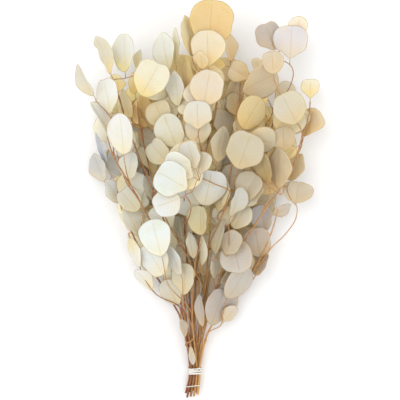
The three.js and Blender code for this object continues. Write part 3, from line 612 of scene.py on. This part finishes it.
# %% The leaf finish
def leaf_material():
    """Reads the blade's own millimetres: x from its base, y off the midrib, and the distance to the rim."""
    m = Nodes("bleached_leaf")
    place = m.add("ShaderNodeTexCoord").outputs["Object"]
    tint = m.add("ShaderNodeAttribute", attribute_name="blade_colour").outputs["Color"]
    base = m.add("ShaderNodeAttribute", attribute_name="base_colour").outputs["Color"]
    where = m.add("ShaderNodeAttribute", attribute_name="where").outputs["Vector"]
    x, y, to_rim = m.add("ShaderNodeSeparateXYZ", {0: where}).outputs[:]
    off = m.math("ABSOLUTE", y)
    soft = m.noise(place, 60.0, 3.0)
    fine = m.noise(place, 450.0, 4.0, 0.6)
    uneven = m.math("SUBTRACT", soft, 0.5)

    # side veins leave the midrib at a slant every 4.5 mm and bow towards the tip
    slant = m.math("SUBTRACT", x, m.math("MULTIPLY", m.math("POWER", off, 0.8), 1.1))
    bent = m.math("ADD", slant, m.math("MULTIPLY", uneven, 5.0))
    wave = m.math("PINGPONG", m.math("DIVIDE", bent, 4.5), 0.5)
    side_vein = m.math("SUBTRACT", 1.0, m.step(wave, 0.0, 0.10))
    side_vein = m.math("MULTIPLY", side_vein, m.step(to_rim, 1.0, 5.0))
    midrib = m.math("SUBTRACT", 1.0, m.step(off, 0.2, 0.8))
    midrib = m.math("MULTIPLY", midrib, m.step(to_rim, 1.0, 7.0))
    veins = m.math("MAXIMUM", m.math("MULTIPLY", side_vein, 0.5), midrib)

    fade = m.math("ADD", x, m.math("MULTIPLY", uneven, 26.0))
    to_base = m.math("SUBTRACT", 1.0, m.step(fade, 1.0, 27.0))
    colour = m.mix(m.math("MULTIPLY", to_base, 0.9), tint, base)
    warmed = m.mix(1.0, colour, (0.95, 0.85, 0.62, 1.0), "MULTIPLY")
    colour = m.mix(m.math("MULTIPLY", m.step(soft, 0.45, 0.70), 0.30), colour, warmed)
    speck = m.math("MULTIPLY", m.step(fine, 0.55, 0.75), 0.12)
    colour = m.mix(speck, colour, (0.66, 0.52, 0.34, 1.0))
    veined = m.mix(1.0, colour, (0.88, 0.72, 0.46, 1.0), "MULTIPLY")
    colour = m.mix(m.math("MULTIPLY", veins, 0.55), colour, veined)
    # brown rim: partly the dried edge, partly a painted shadow outline along the leaf's edge
    ragged = m.math("ADD", to_rim, m.math("MULTIPLY", uneven, 1.6))
    rim = m.math("SUBTRACT", 1.0, m.step(ragged, 0.05, 1.05))
    colour = m.mix(m.math("MULTIPLY", rim, 0.75), colour, (0.48, 0.31, 0.15, 1.0))

    rough = m.add("ShaderNodeMapRange", {"Value": fine, "To Min": 0.52, "To Max": 0.78}).outputs["Result"]
    height = m.math("ADD", m.math("MULTIPLY", veins, 0.9), m.math("MULTIPLY", fine, 0.25))
    height = m.math("ADD", height, m.math("MULTIPLY", soft, 0.8))
    bump = m.add("ShaderNodeBump", {"Height": height, "Strength": 0.5, "Distance": 0.0004}).outputs["Normal"]
    shader = m.add("ShaderNodeBsdfPrincipled", {"Base Color": colour, "Roughness": rough, "Normal": bump,
                                                "Specular IOR Level": 0.25, "Sheen Weight": 0.05,
                                                "Subsurface Weight": 0.45, "Subsurface Scale": 0.0012,
                                                "Subsurface Radius": (1.0, 0.75, 0.40)})
    m.add("ShaderNodeOutputMaterial", {"Surface": shader.outputs[0]})
    return m.material


# %% Bark and cotton
def bark_material():
    m = Nodes("caramel_bark")
    place = m.add("ShaderNodeTexCoord").outputs["Object"]
    tone = m.add("ShaderNodeAttribute", attribute_name="tone").outputs["Color"]
    stretched = m.add("ShaderNodeMapping", {0: place, "Scale": (900.0, 120.0, 900.0)}).outputs[0]
    streaks = m.noise(stretched, 1.0, 4.0)
    patches = m.noise(place, 90.0, 3.0)
    specks = m.noise(place, 1100.0, 2.0)
    colour = m.mix(m.math("MULTIPLY", m.step(streaks, 0.4, 0.7), 0.5), tone,
                   m.mix(1.0, tone, (0.50, 0.38, 0.30, 1.0), "MULTIPLY"))
    colour = m.mix(m.math("MULTIPLY", m.step(patches, 0.45, 0.75), 0.35), colour, (0.72, 0.46, 0.20, 1.0))
    colour = m.mix(m.math("MULTIPLY", m.step(specks, 0.62, 0.72), 0.4), colour, (0.80, 0.62, 0.40, 1.0))
    rough = m.add("ShaderNodeMapRange", {"Value": streaks, "To Min": 0.45, "To Max": 0.75}).outputs["Result"]
    height = m.math("ADD", streaks, m.math("MULTIPLY", specks, 0.4))
    bump = m.add("ShaderNodeBump", {"Height": height, "Strength": 0.6, "Distance": 0.0003}).outputs["Normal"]
    shader = m.add("ShaderNodeBsdfPrincipled", {"Base Color": colour, "Roughness": rough, "Normal": bump,
                                                "Specular IOR Level": 0.4})
    m.add("ShaderNodeOutputMaterial", {"Surface": shader.outputs[0]})
    return m.material


def cotton_material():
    m = Nodes("white_cotton")
    uv = m.add("ShaderNodeSeparateXYZ", {0: m.add("ShaderNodeUVMap", uv_map="thread").outputs[0]})
    turn = m.math("ADD", uv.outputs[0], m.math("MULTIPLY", uv.outputs[1], 2.0))
    ply = m.math("PINGPONG", turn, 0.5)
    place = m.add("ShaderNodeTexCoord").outputs["Object"]
    fuzz = m.noise(place, 2500.0, 2.0)
    # the thread is darker in the grooves between its plies: painted shade
    colour = m.mix(m.step(ply, 0.0, 0.3), (0.72, 0.66, 0.56, 1.0), (0.93, 0.91, 0.86, 1.0))
    colour = m.mix(m.math("MULTIPLY", m.step(fuzz, 0.4, 0.7), 0.25), colour, (0.80, 0.76, 0.68, 1.0))
    height = m.math("ADD", m.step(ply, 0.0, 0.4), m.math("MULTIPLY", fuzz, 0.4))
    bump = m.add("ShaderNodeBump", {"Height": height, "Strength": 0.7, "Distance": 0.0003}).outputs["Normal"]
    rough = m.add("ShaderNodeMapRange", {"Value": fuzz, "To Min": 0.8, "To Max": 0.95}).outputs["Result"]
    shader = m.add("ShaderNodeBsdfPrincipled", {"Base Color": colour, "Roughness": rough, "Normal": bump,
                                                "Sheen Weight": 0.3})
    m.add("ShaderNodeOutputMaterial", {"Surface": shader.outputs[0]})
    return m.material


LEAF, BARK, COTTON = leaf_material(), bark_material(), cotton_material()
print("materials:", [material.name for material in (LEAF, BARK, COTTON)])

# %% Put arrays into a mesh
def make_piece(name, points, quads, triangles, material, stands_for, colours=(), uv=None, vectors=()):
    """One smooth-shaded object at the origin, from quads and triangles, with its colours and vectors as
    point attributes and (u, v) per point as a UV map. It rides on the one body and stands for its CAD
    nodes."""
    mesh = bpy.data.meshes.new(name)
    count = len(points)
    corners = np.concatenate([quads.ravel(), triangles.ravel()]).astype(np.int32)
    sizes = np.concatenate([np.full(len(quads), 4), np.full(len(triangles), 3)]).astype(np.int32)
    mesh.vertices.add(count)
    mesh.vertices.foreach_set("co", points.astype(np.float32).ravel())
    mesh.loops.add(len(corners))
    mesh.loops.foreach_set("vertex_index", corners)
    mesh.polygons.add(len(sizes))
    mesh.polygons.foreach_set("loop_start", np.concatenate([[0], np.cumsum(sizes)[:-1]]).astype(np.int32))
    mesh.update(calc_edges=True)
    mesh.polygons.foreach_set("use_smooth", np.ones(len(sizes), dtype=bool))
    for key, values in dict(colours).items():
        layer = mesh.color_attributes.new(key, "FLOAT_COLOR", "POINT")
        layer.data.foreach_set("color", np.concatenate([values, np.ones((count, 1))], axis=1).ravel())
    for key, values in dict(vectors).items():
        layer = mesh.attributes.new(key, "FLOAT_VECTOR", "POINT")
        layer.data.foreach_set("vector", values.astype(np.float32).ravel())
    if uv is not None:
        layer = mesh.uv_layers.new(name=uv[0])
        layer.data.foreach_set("uv", uv[1][corners].astype(np.float32).ravel())
    mesh.materials.append(material)
    mesh.validate()
    piece = bpy.data.objects.new(name, mesh)
    bpy.context.scene.collection.objects.link(piece)
    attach(piece, "root")
    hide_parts(*stands_for)
    return piece


def gather(parts, keys):
    """Joins parts, whose point numbers are moved up by the points before them."""
    shift = np.concatenate([[0], np.cumsum([len(p["points"]) for p in parts])])[:-1]
    joined = {"points": np.concatenate([p["points"] for p in parts])}
    for key in ("quads", "triangles"):
        width = 4 if key == "quads" else 3
        none = np.empty((0, width), int)
        joined[key] = np.concatenate([p.get(key, none) + s for p, s in zip(parts, shift)])
    for key in keys:
        joined[key] = np.concatenate([p[key] for p in parts])
    return joined


# %% Grow the leaves
def leaf_part(leaf):
    """One leaf as points and faces, with what the leaf finish reads: both colours, and in millimetres x
    from the base, y off the midrib and the distance to the rim."""
    upper, lower, where = leaf_sheet(leaf)
    points = np.concatenate([upper, lower])
    points[:, 2] = np.maximum(points[:, 2], LOWEST)
    return {
        "points": points, "quads": BLADE_QUADS, "triangles": BLADE_FANS,
        "blade_colour": np.tile(leaf["blade_colour"], (len(points), 1)),
        "base_colour": np.tile(leaf["base_colour"], (len(points), 1)),
        "where": np.tile(where, (2, 1)) / MM,
    }


branches = sorted({name.rsplit("_stem", 1)[0] for name in stems})
for branch in branches:
    mine = [name for name in sprays if name.startswith(branch + "_spray")]
    parts = [leaf_part(leaf) for name in mine for leaf in sprays[name][0]]
    joined = gather(parts, ["blade_colour", "base_colour", "where"])
    make_piece(branch + "_leaves", joined["points"], joined["quads"], joined["triangles"], LEAF, mine,
               {"blade_colour": joined["blade_colour"], "base_colour": joined["base_colour"]},
               vectors={"where": joined["where"]})
print("leaf pieces:", len(branches))

# %% [markdown]
# ## Wood
# A stem is a thin rod that swells at each fork. Its twigs grow out of it, not from beside it, so each twig
# starts inside the stem and bends over to its first leaf. A petiole is the thinnest rod, yellower than the
# twig.

# %% Where a twig leaves its stem
def nearest_on(line, point):
    """Index of the finely sampled line's point that is nearest to a point."""
    return int(np.argmin(np.linalg.norm(line - point, axis=1)))


def bends_of(loose, known):
    """Middles of the CAD twig's rings of corners that are away from the known places: there it just bends."""
    away = np.linalg.norm(loose[:, None] - known[None], axis=2).min(axis=1) > 5 * MM
    left, bends = loose[away], []
    while len(left):
        ring = np.linalg.norm(left - left[0], axis=1) < 2 * MM
        bends.append(left[ring].mean(axis=0))
        left = left[~ring]
    return bends


def twig_path(leaves, loose, fine):
    """The twig's points: a place inside the stem, the CAD twig's lower end, then its bends and the
    petioles' roots, each step to the nearest one left."""
    gap = np.min(np.linalg.norm(loose[:, None] - fine[None], axis=2), axis=1)
    start = loose[gap < gap.min() + 1.2 * MM].mean(axis=0)
    anchor = nearest_on(fine, start)
    inside = fine[max(anchor - 6, 0)]
    left = [leaf["root"] for leaf in leaves]
    left += bends_of(loose, np.array(left + [start]))
    path = [inside, start]
    while left:
        k = int(np.argmin([np.linalg.norm(p - path[-1]) for p in left]))
        path.append(left.pop(k))
    return np.array(path), anchor


def petiole_path(leaf):
    """From the root in the twig to a little way along the midrib, just under the blade's own bent surface."""
    share = np.linspace(1.0, 0.55, 4)
    rib = blade_points(leaf, share, np.full(4, np.pi))[0] - leaf["normal"] * BLADE_THICK / 2
    start = (leaf["root"] + rib[0]) / 2 - leaf["normal"] * 0.3 * MM
    return smooth_path(np.concatenate([[leaf["root"], start], rib]), 11)


# %% Grow the wood
FINE = 300                   # points along a stem
SWELLING = 0.45 * MM         # how much thicker a stem is where a twig leaves it
STEM_TONES = np.array([[0.26, 0.09, 0.035], [0.60, 0.34, 0.12]])     # left and right in the bundle
TWIG_TONE = np.array([0.46, 0.23, 0.085])
PETIOLE_TONE = np.array([0.72, 0.50, 0.23])


def toned(part, low, high):
    """A rod with a tone that runs from low at its start to high at its end."""
    part["tone"] = low + (high - low) * part["run"][:, None]
    part["points"][:, 2] = np.maximum(part["points"][:, 2], LOWEST)
    return part


bundle_x = np.mean([centres[2, 0] for centres, _ in stems.values()])
for b, branch in enumerate(branches):
    centres, radii = stems[branch + "_stem"]
    fine = smooth_path(centres, FINE)
    radius = np.linspace(radii[0], radii[-1], FINE)
    mine = [name for name in sprays if name.startswith(branch + "_spray")]
    right_of_middle = fine[20, 0] - bundle_x + 2 * MM * rng.uniform(-1, 1)
    golden = smoothstep(-5 * MM, 6 * MM, right_of_middle)
    tone = (STEM_TONES[0] + golden * (STEM_TONES[1] - STEM_TONES[0])) * rng.uniform(0.85, 1.15)
    parts = []
    for name in mine:
        leaves, loose = sprays[name]
        path, anchor = twig_path(leaves, loose, fine)
        radius += SWELLING * np.exp(-((np.arange(FINE) - anchor) / 3.0) ** 2)
        line = smooth_path(path, 14 * len(path))
        parts.append(toned(rod(line, np.linspace(0.80, 0.45, len(line)) * MM, 7, 0.12, b), tone, TWIG_TONE))
        for leaf in leaves:
            line = petiole_path(leaf)
            petiole = rod(line, np.linspace(0.55, 0.22, len(line)) * MM, 6)
            parts.append(toned(petiole, TWIG_TONE, PETIOLE_TONE))
    parts.append(toned(rod(fine, radius * 0.97, 9, 0.10, b), tone, 0.5 * tone + 0.5 * TWIG_TONE))
    joined = gather(parts, ["tone"])
    make_piece(branch + "_wood", joined["points"], joined["quads"], joined["triangles"], BARK,
               [branch + "_stem"], {"tone": joined["tone"]})
print("wood pieces:", len(branches))

# %% [markdown]
# ## The tie
# The bunch is held by a few tight turns of white cotton, and by one more thread near the cut ends. Each
# turn follows the outline of the stems that it holds. That outline is the farthest reach of the stems in
# each direction, which is how a tight string lies round a bundle.

# %% Cotton round the stems
def outline_round(y, stand_off, sides=48):
    """The tight outline round the stems at y. In each direction the reach is the largest of centre .
    direction + radius, and a corner is where two neighbouring tangent lines meet."""
    discs = []
    for centres, radii in stems.values():
        i = min(max(int(np.searchsorted(centres[:, 1], y)), 1), len(centres) - 1)
        t = np.clip((y - centres[i - 1, 1]) / (centres[i, 1] - centres[i - 1, 1]), 0, 1)
        discs.append((centres[i - 1] + t * (centres[i] - centres[i - 1]))[[0, 2]])
    discs = np.array(discs)
    turn = np.linspace(0, 2 * np.pi, sides, endpoint=False)
    way = np.stack([np.cos(turn), np.sin(turn)], axis=1)
    reach = (discs @ way.T).max(axis=0) + thickest + stand_off
    step = turn[1]
    along = (np.roll(reach, -1) - reach * np.cos(step)) / np.sin(step)
    return reach[:, None] * way + along[:, None] * np.stack([-way[:, 1], way[:, 0]], axis=1)


def cotton_turn(y, radius, tilt, stand_off):
    """A closed thread round the bundle: its outline with Y tilted across the bundle, as a ring of rings."""
    flat = outline_round(y, stand_off + radius)
    flat = smooth_path(np.concatenate([flat, flat[:1]]), 97)[:-1]
    turn = np.linspace(0, 2 * np.pi, len(flat), endpoint=False)
    path = np.stack([flat[:, 0], y + tilt * np.cos(turn), flat[:, 1]], axis=1)
    sides = 8
    tangent = unit(np.roll(path, -1, axis=0) - np.roll(path, 1, axis=0))
    up = np.array([[0, 1.0, 0]])
    out = unit(np.cross(tangent, np.broadcast_to(up, tangent.shape)))
    ring = np.linspace(0, 2 * np.pi, sides, endpoint=False)
    points = path[:, None] + radius * (np.cos(ring)[None, :, None] * out[:, None]
                                       + np.sin(ring)[None, :, None] * np.cross(out, tangent)[:, None])
    n = len(path)
    i, k = np.meshgrid(np.arange(n), np.arange(sides), indexing="ij")
    i2, k2 = (i + 1) % n, (k + 1) % sides
    quads = np.stack([i * sides + k, i * sides + k2, i2 * sides + k2, i2 * sides + k], axis=-1).reshape(-1, 4)
    uv = np.stack([np.repeat(np.linspace(0, 60, n), sides), np.tile(np.linspace(0, 1, sides), n)], axis=1)
    points[..., 2] = np.maximum(points[..., 2], LOWEST)
    return {"points": points.reshape(-1, 3), "quads": quads, "uv": uv}


def cotton_part(line, radius):
    part = rod(line, radius, 8)
    part["uv"] = np.stack([part["run"] * 20, np.zeros(len(part["run"]))], axis=1)
    return part


turns = []
for k, y in enumerate(np.linspace(tie_y - 3.0 * MM, tie_y + 3.0 * MM, 5)):
    turns.append(cotton_turn(y, 0.8 * MM, 0.5 * MM * (-1) ** k, 0.1 * MM))
low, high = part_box("tie_band")
knot_at = np.array([(low[0] + high[0]) / 2 + 5.5 * MM, tie_y + 2.5 * MM, high[2] - 2.2 * MM])
a = np.linspace(0, 2 * np.pi * 1.5, 40)
rise = 0.9 * np.sin(1.5 * a) + 0.4 * a / 4
knot = knot_at + MM * np.stack([2.3 * np.cos(a), 1.8 * np.sin(a), rise], axis=1)
turns.append(cotton_part(knot, 0.75 * MM))
joined = gather(turns, ["uv"])
make_piece("cotton_tie", joined["points"], joined["quads"], joined["triangles"], COTTON, ["tie_band"],
           uv=("thread", joined["uv"]))
thread_low, thread_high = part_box("tie_thread")
thread_y = (thread_low[1] + thread_high[1]) / 2
thread = cotton_turn(thread_y, 0.55 * MM, 1.3 * MM, 0.1 * MM)
thread["triangles"] = np.empty((0, 3), int)
make_piece("cotton_thread", thread["points"], thread["quads"], thread["triangles"], COTTON,
           ["tie_thread"], uv=("thread", thread["uv"]))
print("tie at", round(tie_y, 4), "thread at", round(thread_y, 4))

# %% [markdown]
# ## Floor, light and camera
# The bunch lies on a white table and is seen from straight above, with the tops away from the viewer. A
# large soft light from the upper left gives the leaves their shape, a weaker one from the lower right fills
# the shade, and a white sky keeps the shadows light.

# %% The table
def plain_floor():
    m = Nodes("table_top")
    shader = m.add("ShaderNodeBsdfPrincipled", {"Base Color": (0.93, 0.93, 0.93, 1), "Roughness": 0.9})
    m.add("ShaderNodeOutputMaterial", {"Surface": shader.outputs[0]})
    mesh = bpy.data.meshes.new("floor")
    s = 4.0
    mesh.from_pydata([(-s, -s, 0), (s, -s, 0), (s, s, 0), (-s, s, 0)], [], [(0, 1, 2, 3)])
    mesh.materials.append(m.material)
    floor = bpy.data.objects.new("floor", mesh)
    bpy.context.scene.collection.objects.link(floor)


plain_floor()

# %% Light
def soft_light(name, place, size, power, colour):
    light = bpy.data.lights.new(name, "AREA")
    light.shape, light.size, light.energy, light.color = "DISK", size, power, colour
    lamp = bpy.data.objects.new(name, light)
    lamp.location = place
    aim = np.array([0, 0, 0.05]) - np.array(place)
    yaw, tilt = math.atan2(aim[1], aim[0]), math.atan2(math.hypot(aim[0], aim[1]), -aim[2])
    lamp.rotation_euler = (tilt, 0, yaw - math.pi / 2)
    bpy.context.scene.collection.objects.link(lamp)


soft_light("key", (-0.55, 0.42, 2.0), 1.3, 9.5, (1.0, 0.995, 0.985))
soft_light("fill", (0.8, -0.5, 1.9), 1.8, 3.5, (1.0, 1.0, 1.0))
world = bpy.data.worlds.new("sky")
bpy.context.scene.world = world
world.use_nodes = True
world.node_tree.nodes["Background"].inputs[0].default_value = (1.0, 1.0, 1.0, 1)
world.node_tree.nodes["Background"].inputs[1].default_value = 1.04

# %% Camera
camera_data = bpy.data.cameras.new("camera")
camera_data.lens = 85
camera_data.sensor_width = 36
camera = bpy.data.objects.new("camera", camera_data)
camera.location = (0.0015, 0.0055, 1.198)
bpy.context.scene.collection.objects.link(camera)
bpy.context.scene.camera = camera
bpy.context.scene.view_settings.view_transform = "Standard"
